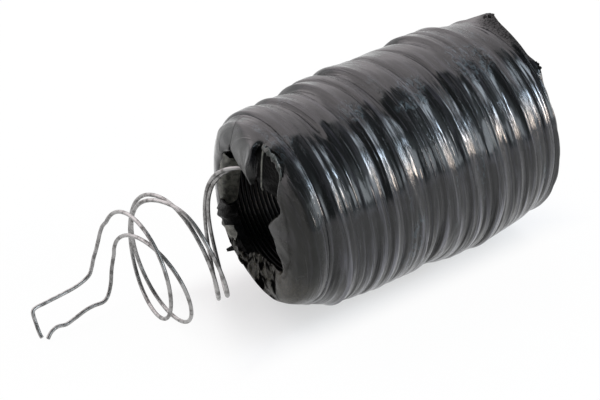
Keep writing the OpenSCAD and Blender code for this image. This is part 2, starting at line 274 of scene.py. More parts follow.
def aroundTable(keys, angles):
    # values that change smoothly with the angle round the roll, from rows (angle, values...) that close up
    rows = sorted(keys, key=lambda row: row[0])
    at = np.array([row[0] for row in rows], float)
    values = np.array([row[1:] for row in rows], float)
    at = np.concatenate([at[-2:] - 360, at, at[:2] + 360])
    values = np.concatenate([values[-2:], values, values[:2]])
    a = (np.asarray(angles, float) - at[2]) % 360 + at[2]
    i = np.clip(np.searchsorted(at, a, side="right") - 1, 1, len(at) - 3)
    h = (at[i + 1] - at[i])[:, None]
    f = (a - at[i])[:, None] / h
    slope = lambda k: (values[k + 1] - values[k - 1]) / (at[k + 1] - at[k - 1])[:, None] * h
    f2, f3 = f * f, f * f * f
    return ((2 * f3 - 3 * f2 + 1) * values[i] + (f3 - 2 * f2 + f) * slope(i)
            + (3 * f2 - 2 * f3) * values[i + 1] + (f3 - f2) * slope(i + 1))


def waves(x, a, seed, count, lengths, turns, size):
    # sum of sines over x and the angle a in degrees: their seed, how many, lengths along x, whole turns round
    # the roll, and height
    rng = np.random.default_rng(seed)
    total = np.zeros(np.broadcast(x, a).shape)
    for _ in range(count):
        length = rng.uniform(*lengths)
        turn = rng.integers(turns[0], turns[1] + 1)
        phase = rng.uniform(0, 2 * math.pi)
        total += np.sin(2 * math.pi * x / length + turn * np.radians(a) + phase)
    return total * size / math.sqrt(count)


def gridFaces(rows, columns, closedRows, closedColumns):
    # the quads of a grid of points, joined end to end along a closed direction
    r = np.arange(rows if closedRows else rows - 1)[:, None]
    c = np.arange(columns if closedColumns else columns - 1)[None, :]
    r2, c2 = (r + 1) % rows, (c + 1) % columns
    corners = [r * columns + c, r * columns + c2, r2 * columns + c2, r2 * columns + c]
    return np.stack(np.broadcast_arrays(*corners), -1).reshape(-1, 4)


def meshPiece(name, points, faces, material, body=None, replaced=(), reliefHeight=None):
    # an object from points in mm and quads, turned so that its faces point outwards: the volume between them
    # and the origin is then positive. The relief height is kept for its finish, which lightens crests from
    # it, partly as a painted highlight, and paints shade in its valleys
    points = points.reshape(-1, 3)
    a, b, c, d = (points[faces[:, k]] for k in range(4))
    volume = np.einsum("ij,ij->i", a, np.cross(b, c)) + np.einsum("ij,ij->i", a, np.cross(c, d))
    if volume.sum() < 0:
        faces = faces[:, ::-1]
    mesh = bpy.data.meshes.new(name)
    mesh.from_pydata((points * mm).tolist(), [], faces.tolist())
    mesh.polygons.foreach_set("use_smooth", [True] * len(mesh.polygons))
    mesh.materials.append(material)
    if reliefHeight is not None:
        mesh.attributes.new("reliefHeight", "FLOAT", "POINT").data.foreach_set("value", reliefHeight.ravel())
    piece = bpy.data.objects.new(name, mesh)
    bpy.context.scene.collection.objects.link(piece)
    if body:
        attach(piece, body)
    if replaced:
        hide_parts(*replaced)
    print("made", name, "with", len(faces), "faces")
    return piece


def gridNormals(surface):
    normal = np.cross(np.gradient(surface, axis=0), np.gradient(surface, axis=1))
    return normal / np.maximum(np.linalg.norm(normal, axis=-1, keepdims=True), 1e-9)


def ringPiece(name, points, material, replaced, reliefHeight=None):
    # a grid of points that closes up both round the roll and along its section
    faces = gridFaces(*points.shape[:2], True, True)
    meshPiece(name, points, faces, material, "roll", [replaced], reliefHeight)


def slab(surface, thickness):
    # a sheet with a back and a rim from a grid of points: the back lies one thickness behind the front
    back = surface - gridNormals(surface) * thickness
    rows, columns = surface.shape[:2]
    front = gridFaces(rows, columns, False, False)
    behind = front[:, ::-1] + rows * columns
    top, bottom = np.arange(columns), (rows - 1) * columns + np.arange(columns)
    left, right = np.arange(rows) * columns, np.arange(rows) * columns + columns - 1
    rim = np.concatenate([bottom[:-1], right[::-1][:-1], top[::-1][:-1], left[:-1]])
    ahead = np.roll(rim, -1)
    sides = np.stack([rim, ahead, ahead + rows * columns, rim + rows * columns], 1)
    # front quads run along rows first, so the rim is turned to match them
    points = np.concatenate([surface.reshape(-1, 3), back.reshape(-1, 3)])
    return points, np.concatenate([front, behind, sides[:, ::-1]])


def ringPoint(x, r, a):
    # a point of the roll from its place along the axis, its radius and its angle
    a = np.radians(a)
    return np.stack(np.broadcast_arrays(x, r * np.sin(a), roll["axisHeight"] + r * np.cos(a)), -1)


# ---- wire ----

wire = {"thickness": 1.4, "sides": 12, "layerRadius": 23.2, "layerFrontX": -47.0, "turnPitch": 3.30,
        "layerTurns": 11, "leadAngle": -127, "leadSweep": 135, "emergeAngle": 8, "drawnTurns": 2,
        "deepStep": 5, "step": 3.0, "endStep": 15.0, "legSteps": 12}
# Each strand: its offset in turns, the angle at which its leg starts, its bends and its route.
# Bends: (angle, width), how far the wire lies off its even turns there, and how much the turn is pinched.
# Loops: first and last centre, the bow between them, then half width, half height, lean and skew, each first
# and last.
# Leg: points from the roll's front, with their height over the ground.
strands = {
    "strandA": {"offset": 0.0, "legStart": 60,
                "bends": [((-12, 34), (3.4, -1.5, 2.4), 0.0), ((180, 90), (-0.2, 0.3, 4.6), 2.7),
                          ((368, 36), (0.4, -1.0, -0.9), 0.0)],
                "loops": [[3, 4.5, -11.8], [-36, 19.5, 22.5], [-28, 16, 2],
                          [19.5, 20], [26, 20.5], [4, -0.5], [-2, 0]],
                "leg": [[-37.2, 38.4, 29.4], [-38.2, 38.8, 26.8], [-39.2, 38.9, 23.6], [-40.4, 38.8, 20.5],
                        [-41.8, 38.6, 17.5], [-43, 38.3, 14.4], [-45, 37.8, 11.6], [-51, 37, 10],
                        [-62.5, 36, 9.5], [-67, 35.5, 9.5], [-68.5, 35, 8.5], [-68.6, 33.8, 5.5],
                        [-68.7, 32, 3], [-68.7, 30.8, 1.5], [-68.6, 30, 0.8]],
                "replaced": ["inner_turns_a", "lead_wire_a", "drawn_wire_a"]},
    "strandB": {"offset": 0.5, "legStart": 73,
                "bends": [((8, 36), (3.1, 0.15, 2.0), 0.0), ((180, 90), (-1.5, 1.0, 6.0), 3.4),
                          ((345, 38), (1.9, -1.3, 0.0), 0.0)],
                "loops": [[6, 3.5, -13.8], [-32.5, 15.5, 17], [-39, 12, 18],
                          [19.5, 19.5], [26.5, 19.5], [6, 3], [-1, 3]],
                "leg": [[-37.5, 34, 14], [-39, 33, 8.5], [-41, 32, 5], [-43.5, 31, 4], [-47.5, 30.5, 4.5],
                        [-51, 30, 4.5], [-55.5, 30, 3], [-59, 30, 2], [-62.5, 29.5, 3], [-65, 29, 2.5],
                        [-66.5, 28.5, 1.5], [-67.2, 28.2, 0.8]],
                "replaced": ["inner_turns_b", "lead_wire_b", "drawn_wire_b"]},
}


def layerPoint(a, offset):
    # helix of the open layer: the angle falls with depth, one pitch for each turn
    x = wire["layerFrontX"] + wire["turnPitch"] * ((wire["leadAngle"] - a) / 360 + offset)
    return ringPoint(x, wire["layerRadius"], a)


def loopPoint(strand, a):
    # free turns whose centre drifts and bows out while half width, half height, lean and skew change evenly,
    # with a few bends that lie off them, each fading out as a bell over the angle
    loops = strand["loops"]
    t = (a / (360 * wire["drawnTurns"]))[:, None]
    first, last, bow = (np.array(v, float) for v in loops[:3])
    first = first + [0, 0, roll["axisHeight"]]
    mix = lambda pair: (pair[0] + (pair[1] - pair[0]) * t[:, 0])
    width, height, lean, skew = (mix(pair) for pair in loops[3:])
    centre = first + (last - first) * t + bow * t * (1 - t)
    s, c = np.sin(np.radians(a)), np.cos(np.radians(a))
    way = centre + np.stack([roll["frontX"] - lean * c - skew * s, width * s, height * c], -1)
    for (middle, spread), shift, pinch in strand["bends"]:
        bell = np.exp(-((a - middle) / spread) ** 2)[:, None]
        way = way + bell * (np.array(shift) + pinch * s[:, None] * np.array([1.0, 0.0, 0.0]))
    return way


def strandPath(strand):
    # one way from the deepest turn of the open layer, out of the bore, round the free turns and down the leg
    lead, emerge, sweep = wire["leadAngle"], wire["emergeAngle"], wire["leadSweep"]
    step, endStep, legSteps = wire["step"], wire["endStep"], wire["legSteps"]
    deep = layerPoint(np.arange(lead - 360.0 * wire["layerTurns"], lead, wire["deepStep"]), strand["offset"])
    a = np.arange(lead, emerge, step)
    w = eased((a - lead) / sweep)[:, None]
    wound, free = layerPoint(a, strand["offset"]), loopPoint(strand, a)
    out = wound + (free - wound) * np.concatenate([w * w, w, w], 1)
    lastAngle = 360 * wire["drawnTurns"] + strand["legStart"]
    loops = loopPoint(strand, np.arange(emerge, lastAngle, step))
    ends = math.floor((lastAngle - emerge) / endStep)
    ends = loopPoint(strand, np.array([emerge + endStep * (ends - 1), lastAngle]))
    feet = np.array(strand["leg"], float) + [roll["frontX"], 0, 0]
    way = np.concatenate([ends, feet])
    leg = curveThrough(way, legSteps * (len(way) - 1) + 1)[legSteps:]
    return np.concatenate([deep, out, loops[:-1], leg])


def tube(path, radius, sides):
    # a round tube along a path, its rings carried along without twist and its ends rounded off in three
    # steps, each with its share of the radius and how far it stands out
    direction = np.gradient(path, axis=0)
    direction /= np.linalg.norm(direction, axis=1, keepdims=True)
    side = np.empty_like(path)
    carried = np.array([1.0, 0.1, 0.2])  # any start that no path runs along
    for i, d in enumerate(direction):
        carried = carried - carried.dot(d) * d
        carried = carried / np.linalg.norm(carried)
        side[i] = carried
    up = np.cross(direction, side)
    a = np.linspace(0, 2 * math.pi, sides, endpoint=False)[None, :, None]
    ring = np.cos(a) * side[:, None] + np.sin(a) * up[:, None]
    reach = np.full(len(path), 1.0) * radius
    body = path[:, None] + ring * reach[:, None, None]
    caps = []
    for i, sign in ((0, -1), (-1, 1)):
        for share, step in ((0.82, 0.16), (0.5, 0.26), (0.001, 0.30)):
            caps.append(path[i] + direction[i] * sign * step * reach[i] + ring[i] * reach[i] * share)
    rows = np.concatenate([caps[2::-1], body, caps[3:]])
    return rows, gridFaces(len(rows), sides, False, True)


def makeWires(steel):
    for name, strand in strands.items():
        points, faces = tube(strandPath(strand), wire["thickness"] / 2, wire["sides"])
        piece = meshPiece(name, points, faces, steel)
        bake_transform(piece)
        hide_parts(*strand["replaced"])


def makePackedWire(packed):
    # the wound wire under the film: a turned section whose bore wall waves as its turns do, and in the pocket
    # of the open layer a little less
    core = {"turn": 1.65, "around": 240, "boreRadius": 22.5, "pocketRadius": 24.3, "pocketEnd": -7.0,
            "front": -50.6, "back": 50.6, "depth": 0.55, "pocketShare": 0.3, "outSteps": 40,
            "outX": [-51, -46, -20, 4, 30, 49, 51], "outRadius": [26, 29, 31.5, 32, 32, 32, 29.5]}
    a = np.linspace(0, 360, core["around"], endpoint=False)
    boreX = np.arange(core["pocketEnd"], core["back"], core["turn"] / 6)
    turns = lambda x: x[:, None] / core["turn"] + a[None, :] / 360
    ripple = lambda x: -core["depth"] * np.abs(np.cos(math.pi * turns(x)))
    pocketX = np.arange(core["front"], core["pocketEnd"], core["turn"] / 3)
    outX = np.linspace(core["back"], core["front"], core["outSteps"])
    under = lambda x: np.interp(x, core["outX"], core["outRadius"])
    x = np.concatenate([pocketX, boreX, outX])[:, None]
    r = np.concatenate([core["pocketRadius"] + core["pocketShare"] * ripple(pocketX),
                        core["boreRadius"] + core["depth"] + ripple(boreX),
                        under(outX)[:, None] + 0 * a[None, :]])
    ringPiece("packedWire", ringPoint(x, r, a[None, :]), packed, "coil_core")


# ---- film ----

def barrelRadius(x):
    fall = np.where(x < roll["widestX"],
                    roll["frontFall"] * ((roll["widestX"] - x) / roll["frontReach"]) ** 2,
                    roll["backFall"] * ((x - roll["widestX"]) / roll["backReach"]) ** 2)
    return roll["radius"] - fall


# Crests and valleys of the film, each running round the roll. Each: x at 40, -50 and -140 degrees, then the
# rise over the barrel there, in mm. At 130 degrees a line has the mean of its first and third.
filmLines = [
    (-50.0, -50.0, -50.0, -2.0, -1.4, -1.9),
    (-47.0, -47.5, -47.5, -2.1, -0.9, -0.9),
    (-45.3, -45.0, -45.0, -0.4, -0.6, -0.3),
    (-41.0, -41.5, -37.5, -0.6, 0.5, 1.9),
    (-37.5, -36.0, -34.5, -2.0, -0.6, 1.2),
    (-33.5, -30.0, -30.0, -1.1, -0.2, 1.0),
    (-29.5, -26.0, -26.0, -2.3, -0.2, 0.8),
    (-23.8, -24.0, -23.0, -3.6, -0.7, 0.7),
    (-22.4, -21.6, -21.0, -1.4, 0.3, 0.7),
    (-17.0, -18.0, -17.0, -1.4, -0.7, 0.1),
    (-14.8, -14.8, -5.5, -1.6, 0.2, -0.4),
    (-9.6, -9.0, 0.0, -2.9, -1.1, -1.9),
    (-8.3, -4.0, 2.5, -0.9, -0.4, -1.2),
    (-1.0, 1.0, 7.0, -1.5, 0.1, -0.3),
    (5.0, 5.0, 11.0, -1.8, -0.8, 0.2),
    (8.0, 10.0, 15.0, -2.0, 0.0, 0.3),
    (11.5, 14.5, 18.0, -1.3, -0.9, 0.3),
    (19.5, 19.0, 20.0, -1.3, -0.5, 0.5),
    (23.0, 23.5, 23.5, -2.1, 0.3, 1.0),
    (24.5, 27.5, 28.0, 0.3, -0.7, 0.5),
    (30.0, 31.0, 32.0, 0.4, 0.1, 0.0),
    (33.0, 34.3, 35.0, 0.2, -0.6, 0.0),
    (35.5, 37.5, 38.0, 0.6, 0.4, -0.2),
    (42.0, 42.5, 42.0, -0.5, -0.6, -0.5),
    (45.2, 46.0, 45.5, -1.0, -0.1, -1.1),
    (48.0, 49.0, 48.0, -0.6, -0.6, -1.5),
    (52.0, 52.0, 52.0, -1.4, -1.3, -2.1),
]
# Each crease: x at 20, -5 and -30 degrees, depth, and the angles between which it shows
creases = [
    (-35.0, -34.6, -34.0, 0.9, -35, 70),
    (-18.0, -16.2, -15.2, 0.7, -40, 70),
    (-9.8, -10.0, -9.2, 0.5, -45, 90),
    (3.2, 4.0, 5.0, 0.45, -30, 60),
    (13.5, 15.0, 15.0, 0.7, -45, 80),
    (29.0, 29.5, 30.5, 0.5, -20, 60),
    (34.5, 36.0, 35.5, 0.5, -35, 60),
]


def lineAt(a, first, second, third, angles):
    # x of a crease at angle a, on a parabola through three places that goes on a little past them
    line = np.polyfit(angles, (first, second, third), 2)
    return np.polyval(line, np.clip(a, angles[2] - 20, angles[0] + 30))


def filmRise(x, a):
    # rise of the film over the barrel: it sags between its crests, so that each interval between two lines is
    # flat at its low end and steep at its high end. It is smooth where the roll lies on it.
    sag = {"power": 1.7, "farLeast": -1.2, "settledWidth": 45, "settledRise": 0.1}
    lines = np.array(filmLines)
    places, rises = lines[:, :3], lines[:, 3:]
    places = np.concatenate([places, places[:, [0, 2]].mean(1, keepdims=True)], 1)
    farRises = np.maximum(rises[:, [0, 2]].mean(1, keepdims=True), sag["farLeast"])
    rises = np.concatenate([rises, farRises], 1)
    turn = ((40 - a) % 360) / 90
    sector = np.floor(turn).astype(int) % 4
    share = eased(turn - np.floor(turn))
    at = lambda values, i: values[i][sector] + (values[i][(sector + 1) % 4] - values[i][sector]) * share
    settled = eased(1 - np.abs(180 - a % 360) / sag["settledWidth"])
    total = np.zeros(np.broadcast(x, a).shape)
    for i in range(len(lines) - 1):
        x0, x1 = at(places, i), at(places, i + 1)
        low, high = at(rises, i), at(rises, i + 1)
        t = (x - x0) / (x1 - x0)
        inside = (t >= 0) & (t < 1)
        t = np.clip(t, 0, 1)
        climb = np.where(high > low, t ** sag["power"], 1 - (1 - t) ** sag["power"])
        total = np.where(inside, low + (high - low) * climb, total)
    return total + (sag["settledRise"] - total) * settled


# Waves of the film, as the function waves takes them
filmWaves = {"wobble": (3, 4, (20, 40), (1, 4), 0.25), "pull": (11, 26, (2.2, 6.0), (-3, 3), 0.07),
             "fine": (13, 20, (1.3, 2.4), (-6, 6), 0.028), "slant": (17, 16, (9, 28), (-9, 9), 0.16),
             "drift": (19, 4, (10, 30), (1, 3), 0.7)}
# Thin ridges, and valleys where the height is negative: spacing, height and how narrow they are
thinLines = ((3.7, 0.20, 6), (5.3, -0.24, 5), (8.9, 0.16, 9))
# Where and how fast these details fade, in degrees round the roll and mm along it, and their least shares
fades = {"bottom": 178, "bottomOver": 25, "creaseAngles": (20, -5, -30), "creaseFrom": 20, "creaseTo": 30,
         "creaseWidth": 0.7, "dentWidth": 2.5, "dentShare": 0.5, "calm": 0.45, "calmOver": 12,
         "calmAngle": -25, "calmTurn": 20, "pullLeast": 0.35, "slant": 150, "slantOver": 40,
         "under": (-45, -172), "underOver": 25, "thinLeast": 0.25, "patchLeast": 0.4, "patchLength": 7.3}


def filmRadius(x, a):
    # radius of the film: barrel, crests and valleys, creases, waves along the pull, which are calmer at the
    # top towards the back, and thin lines, which are strongest in the lower half of the near side
    a = (np.asarray(a, float) + 180) % 360 - 180
    fade = eased((fades["bottom"] - np.abs(a)) / fades["bottomOver"])
    wobble = waves(x * 0.1, a, *filmWaves["wobble"])
    r = barrelRadius(x) + filmRise(x + wobble * fade, a)
    for first, second, third, depth, low, high in creases:
        d = x - lineAt(a, first, second, third, fades["creaseAngles"]) + wobble
        shown = eased((a - low) / fades["creaseFrom"]) * eased((high - a) / fades["creaseTo"])
        narrow, wide = np.exp(-(d / fades["creaseWidth"]) ** 2), np.exp(-(d / fades["dentWidth"]) ** 2)
        r = r - depth * shown * (narrow + fades["dentShare"] * wide)
    strength = 0.5 + 0.5 * np.sin(np.radians(a * 3 + 4 * x))
    top = eased(x / fades["calmOver"]) * eased((a - fades["calmAngle"]) / fades["calmTurn"])
    strength = strength - fades["calm"] * top * (strength + 0.3)
    atLeast = lambda least, share: least + (1 - least) * share
    r = r + waves(x, a, *filmWaves["pull"]) * atLeast(fades["pullLeast"], strength) * fade
    r = r + waves(x, a, *filmWaves["fine"]) * atLeast(0.5, strength) * fade
    slanted = eased((fades["slant"] - np.abs(a)) / fades["slantOver"])
    r = r + waves(x, a, *filmWaves["slant"]) * fade * slanted
    high, low = fades["under"]
    under = eased((high - a) / fades["underOver"]) * eased((a - low) / fades["underOver"])
    drift = x + 0.02 * a + waves(x * 0.2, a, *filmWaves["drift"])
    for length, height, power in thinLines:
        thin = (0.5 + 0.5 * np.sin(2 * math.pi * drift / length)) ** power
        patchy = atLeast(fades["patchLeast"], np.sin(drift / fades["patchLength"] + length) ** 2)
        r = r + height * thin * atLeast(fades["thinLeast"], under) * patchy * fade
    rest = roll["axisHeight"] / np.maximum(np.cos(np.radians(180 - np.abs(a))), 0.3)
    return np.minimum(r, rest - 0.02)


def makeFilmWrap(film):
    wrap = {"around": 300, "outer": 290, "inner": 28, "thickness": 0.8,
            "sides": (-2.5, -1.7, -0.9, 0.9, 1.7, 2.5)}
    a = np.linspace(-180, 180, wrap["around"], endpoint=False)[None, :]
    out = np.linspace(roll["shoulderFrontX"], roll["shoulderBackX"], wrap["outer"])[:, None]
    back = np.linspace(roll["shoulderBackX"], roll["shoulderFrontX"], wrap["inner"])[:, None]
    outer = ringPoint(out, filmRadius(out, a), a)
    inner = ringPoint(back, filmRadius(back, a) - wrap["thickness"], a)
    # height of the film over its mean at a few places to each side, in mm: above 0 on crests, below in
    # valleys
    sides = [filmRadius(np.clip(out + shift, -49.0, 52.0), a) for shift in wrap["sides"]]
    raised = filmRadius(out, a) - sum(sides) / len(sides)
    reliefHeight = np.concatenate([raised, 0 * inner[..., 0]])
    ringPiece("filmWrap", np.concatenate([outer, inner]), film, "film_wrap", reliefHeight)


# Section of the film folded over the front, at angles round the mouth: (x, radius) after the shoulder seam,
# to the torn edge and the part tucked in behind it
frontFold = [
    (5, -47.6, 33.3, -50.0, 32.9, -51.4, 31.6, -52.0, 29.6, -52.0, 27.6, -51.6, 26.2, -50.4, 25.6),
    (22, -47.6, 32.9, -50.0, 32.4, -51.6, 30.9, -52.2, 28.8, -52.2, 26.8, -51.6, 25.6, -50.4, 25.0),
    (37, -47.4, 32.8, -49.9, 32.2, -51.6, 30.2, -52.2, 28.0, -52.2, 26.2, -51.6, 25.0, -50.2, 24.4),
    (50, -47.4, 33.3, -49.6, 32.4, -51.2, 30.0, -51.8, 27.6, -51.8, 25.8, -51.2, 24.6, -49.8, 24.0),
    (65, -47.6, 33.2, -49.2, 31.2, -50.6, 29.0, -51.3, 26.8, -51.4, 25.0, -50.8, 23.8, -49.4, 23.2),
    (81, -47.6, 32.8, -49.2, 30.4, -50.3, 28.4, -51.0, 26.4, -51.1, 24.8, -50.5, 23.6, -49.2, 23.0),
    (101, -47.6, 32.8, -49.2, 30.6, -50.2, 28.7, -50.9, 26.6, -51.0, 25.0, -50.5, 24.0, -49.2, 23.4),
    (115, -47.8, 33.2, -49.4, 31.2, -50.4, 29.6, -51.0, 27.6, -51.1, 26.0, -50.6, 25.0, -49.4, 24.4),
    (126, -48.0, 33.0, -49.8, 30.6, -51.0, 28.2, -51.6, 26.8, -51.8, 25.6, -51.4, 24.8, -50.4, 24.4),
    (143, -48.0, 32.8, -50.2, 30.4, -51.4, 28.6, -52.0, 27.3, -52.2, 26.2, -51.8, 25.2, -51.0, 24.6),
    (152, -48.0, 32.9, -50.2, 30.4, -51.6, 28.6, -52.2, 27.0, -52.4, 25.6, -52.0, 24.2, -51.2, 23.4),
    (163, -48.0, 33.1, -50.3, 30.6, -51.8, 28.4, -52.6, 26.6, -52.9, 24.4, -52.6, 22.4, -51.8, 21.0),
    (175, -48.0, 33.4, -50.3, 31.4, -51.9, 29.4, -52.8, 27.0, -53.2, 22.8, -52.9, 18.6, -51.9, 16.6),
    (190, -48.0, 33.8, -50.3, 32.4, -52.1, 30.5, -53.1, 27.6, -53.6, 22.8, -53.2, 17.6, -52.0, 15.4),
    (204, -48.0, 33.8, -50.2, 32.6, -52.1, 31.2, -53.5, 28.4, -54.0, 23.6, -53.6, 18.0, -52.4, 15.6),
    (214, -48.0, 33.7, -50.2, 32.7, -52.2, 31.6, -54.0, 29.0, -54.4, 24.4, -53.9, 19.4, -52.7, 17.2),
    (224, -48.1, 33.8, -50.4, 32.9, -52.5, 31.9, -54.5, 29.2, -54.9, 25.4, -54.4, 21.8, -53.1, 20.4),
    (236, -48.3, 34.1, -50.9, 33.3, -52.9, 32.1, -54.9, 28.8, -55.2, 25.2, -54.8, 22.0, -53.5, 20.8),
    (246, -48.5, 34.3, -51.2, 33.5, -53.0, 32.0, -55.0, 28.4, -55.3, 25.0, -54.9, 21.8, -53.9, 20.6),
    (251, -48.5, 34.4, -51.3, 33.5, -53.1, 31.8, -55.0, 28.0, -55.3, 24.2, -54.9, 20.0, -54.1, 18.2),
    (255, -48.5, 34.4, -51.4, 33.5, -53.1, 31.7, -55.0, 27.8, -55.3, 23.0, -54.9, 17.2, -54.2, 14.8),
    (262, -48.6, 34.5, -51.6, 33.6, -53.1, 31.6, -55.0, 27.6, -55.3, 22.6, -55.0, 16.6, -54.2, 14.2),
    (268, -48.6, 34.5, -51.6, 33.6, -53.0, 31.5, -54.9, 27.4, -55.4, 22.6, -54.9, 16.8, -54.3, 14.3),
    (274, -48.6, 34.5, -51.6, 33.6, -53.0, 31.5, -54.9, 27.2, -55.4, 21.6, -54.9, 14.8, -54.4, 12.2),
    (281, -48.6, 34.6, -51.7, 33.7, -53.0, 31.5, -54.9, 27.2, -55.4, 21.2, -54.9, 14.0, -54.4, 11.4),
    (290, -48.6, 34.6, -51.6, 33.7, -52.9, 31.5, -54.8, 27.6, -55.3, 22.0, -54.9, 15.2, -54.4, 12.4),
    (297, -48.6, 34.5, -51.5, 33.6, -52.8, 31.6, -54.7, 28.2, -55.3, 24.0, -55.0, 18.8, -54.3, 16.2),
    (304, -48.6, 34.5, -51.4, 33.6, -52.8, 31.6, -54.6, 28.6, -55.2, 26.0, -55.1, 23.8, -54.0, 22.6),
    (316, -48.4, 34.4, -51.0, 33.4, -52.6, 31.6, -54.0, 28.8, -54.5, 26.4, -54.5, 24.6, -53.4, 23.8),
    (321, -48.4, 34.4, -50.8, 33.4, -52.4, 31.8, -53.6, 29.6, -54.0, 27.8, -53.9, 26.6, -52.9, 25.8),
    (327, -48.3, 34.3, -50.4, 33.6, -51.6, 32.6, -52.5, 31.4, -52.9, 30.3, -52.6, 29.4, -51.6, 28.9),
    (336, -48.0, 34.2, -49.8, 33.9, -51.0, 33.4, -51.9, 32.6, -52.2, 31.6, -51.9, 30.8, -50.9, 30.3),
    (346, -47.6, 34.0, -49.6, 33.8, -51.0, 33.4, -51.9, 32.9, -52.3, 32.1, -52.0, 31.3, -51.0, 30.9),
    (354, -47.6, 33.7, -49.8, 33.4, -51.2, 32.6, -52.0, 31.4, -52.3, 30.0, -52.0, 28.9, -51.0, 28.4),
]


def turnedFold(sections, seamX, inwardX, around, along):
    # a fold that starts on the film at seamX, with the film's slope from inwardX, and follows its sections to
    # the torn edge
    a = np.linspace(-180, 180, around, endpoint=False)
    rows = aroundTable(sections, a)
    x, r = rows[:, 0::2].T, rows[:, 1::2].T
    seam = filmRadius(np.full(around, seamX), a)
    x = np.concatenate([np.full((1, around), seamX), x])
    r = np.concatenate([seam[None, :], r])
    before = filmRadius(np.full(around, inwardX), a)
    ghost = np.stack([np.full(around, inwardX), before], -1)[None]
    curve = curveThrough(np.concatenate([ghost, np.stack([x, r], -1)]), along + along // (len(x)) + 1)
    start = np.argmax(np.abs(curve[:, 0, 0] - inwardX) >= abs(seamX - inwardX) - 1e-6)
    curve = curve[start:]
    curve[0] = np.stack([np.full(around, seamX), seam], -1)
    return curve[..., 0], curve[..., 1], a


def makeFrontFold(film):
    # pleats run towards the mouth, the film under the mouth is crumpled, and its edge is torn all round.
    # Below and far: middle angle, half width and fade. Depths: where each starts on the way to the edge, and
    # over how much of it.
    fold = {"around": 400, "along": 60, "thickness": 0.5, "inwardX": -43.5,
            "pleats": (21, 14, (9, 30), (5, 24), 0.14), "crumples": (22, 16, (4, 12), (-16, 16), 0.75),
            "ragged": (25, 10, (4, 12), (16, 44), 0.45), "torn": (23, 12, (9, 30), (5, 26), 0.75),
            "below": (180, 55, 30), "belowDepth": (0.35, 0.25), "far": (163, 42, 20), "farDepth": (0.12, 0.2),
            "tornDepth": (0.7, 0.3)}
    x, r, a = turnedFold(frontFold, roll["shoulderFrontX"], fold["inwardX"], fold["around"], fold["along"])
    depth = np.linspace(0, 1, len(x))[:, None]
    near = lambda middle, half, over: eased((half - np.abs(a[None, :] % 360 - middle)) / over)
    deep = lambda start, over: eased((depth - start) / over)
    pleats = waves(depth * 9, a[None, :], *fold["pleats"]) * np.sin(math.pi * np.clip(depth * 1.05, 0, 1))
    below = near(*fold["below"]) * deep(*fold["belowDepth"])
    crumples = waves(depth * 16, a[None, :], *fold["crumples"]) * below
    far = near(*fold["far"]) * deep(*fold["farDepth"])
    pleats = pleats + crumples + waves(depth * 12, a[None, :], *fold["ragged"]) * far
    torn = waves(0 * depth, a[None, :], *fold["torn"]) * deep(*fold["tornDepth"])
    r = r + pleats + torn
    x = x + 0.6 * pleats
    outer = ringPoint(x, r, a[None, :])
    normal = gridNormals(outer)
    outward = (normal[3, 0] * (ringPoint(0, 1, a[0]) - [0, 0, roll["axisHeight"]])).sum()
    inner = (outer - (1 if outward >= 0 else -1) * normal * fold["thickness"])[::-1]
    ringPiece("filmFrontFold", np.concatenate([outer, inner]), film, "film_front_fold")


def makeBackFold(film):
    # the film gathered over the back: pleats that swirl inwards to an uneven edge round the bore
    fold = {"around": 400, "along": 56, "thickness": 0.5, "inwardX": 46.5, "pleats": 0.5, "pleatTurns": 9,
            "swirl": 50, "uneven": (31, 5, (9, 30), (1, 5), 0.9), "fine": (33, 12, (9, 30), (6, 28), 0.12),
            "torn": (35, 8, (9, 30), (4, 30), 0.35), "tornDepth": (0.75, 0.25), "riseOver": 0.25,
            "fallOver": 0.12, "gap": 0.1, "tuck": 0.5,
            "section": (52.6, 34.6, 52.9, 31, 52.6, 27.5, 52.4, 24.6, 51.2, 23.4, 49.5, 23.2)}
    sections = [(a, 51.2, 36.6 + 0.5 * math.cos(math.radians(a)), *fold["section"])
                for a in range(-180, 180, 30)]
    x, r, a = turnedFold(sections, roll["shoulderBackX"], fold["inwardX"], fold["around"], fold["along"])
    depth = np.linspace(0, 1, len(x))[:, None]
    turn = a[None, :] + fold["swirl"] * depth
    pleat = np.abs(np.sin(np.radians(turn * fold["pleatTurns"]) + waves(0 * depth, turn, *fold["uneven"])))
    rise = eased(depth / fold["riseOver"]) * eased((1 - depth) / fold["fallOver"] + 0.2)
    x = x - fold["pleats"] * (1 - pleat) * rise - waves(depth * 20, turn, *fold["fine"]) * rise
    tornFrom, tornOver = fold["tornDepth"]
    r = r + waves(0 * depth, a[None, :], *fold["torn"]) * eased((depth - tornFrom) / tornOver)
    outer = ringPoint(x, r, a[None, :])
    innerX = x - fold["gap"] - fold["tuck"] * eased(depth / 0.3)
    innerR = r - fold["thickness"] * (1 - eased((depth - 0.2) / 0.3)) + 0.3 * eased((depth - 0.75) / 0.2)
    points = np.concatenate([outer, ringPoint(innerX, innerR, a[None, :])[::-1]])
    ringPiece("filmBackFold", points, film, "film_back_fold")


def sheetPiece(name, sheet, finish, body="roll", replaced=()):
    # a loose flap: a smooth grid through rows of (x, y, z from the axis) points, slightly crumpled
    down, across = sheet["grid"]
    grid = curveThrough(np.asarray(sheet["rows"], float), down)
    grid = curveThrough(grid.swapaxes(0, 1), across).swapaxes(0, 1)
    grid = grid + [0, 0, roll["axisHeight"]]
    u, v = np.meshgrid(np.linspace(0, 10, across), np.linspace(0, 10, down))
    crumple = waves(v, u * 18, sheet["seed"], 10, (3, 10), (-3, 3), sheet["crumple"])
    grid = grid + crumple[..., None] * np.array([1, 0.3, 0.3])
    points, faces = slab(grid, sheet["thickness"])
    return meshPiece(name, points, faces, finish, body, replaced)


def polar(x, r, a):
    return x, r * math.sin(math.radians(a)), r * math.cos(math.radians(a))


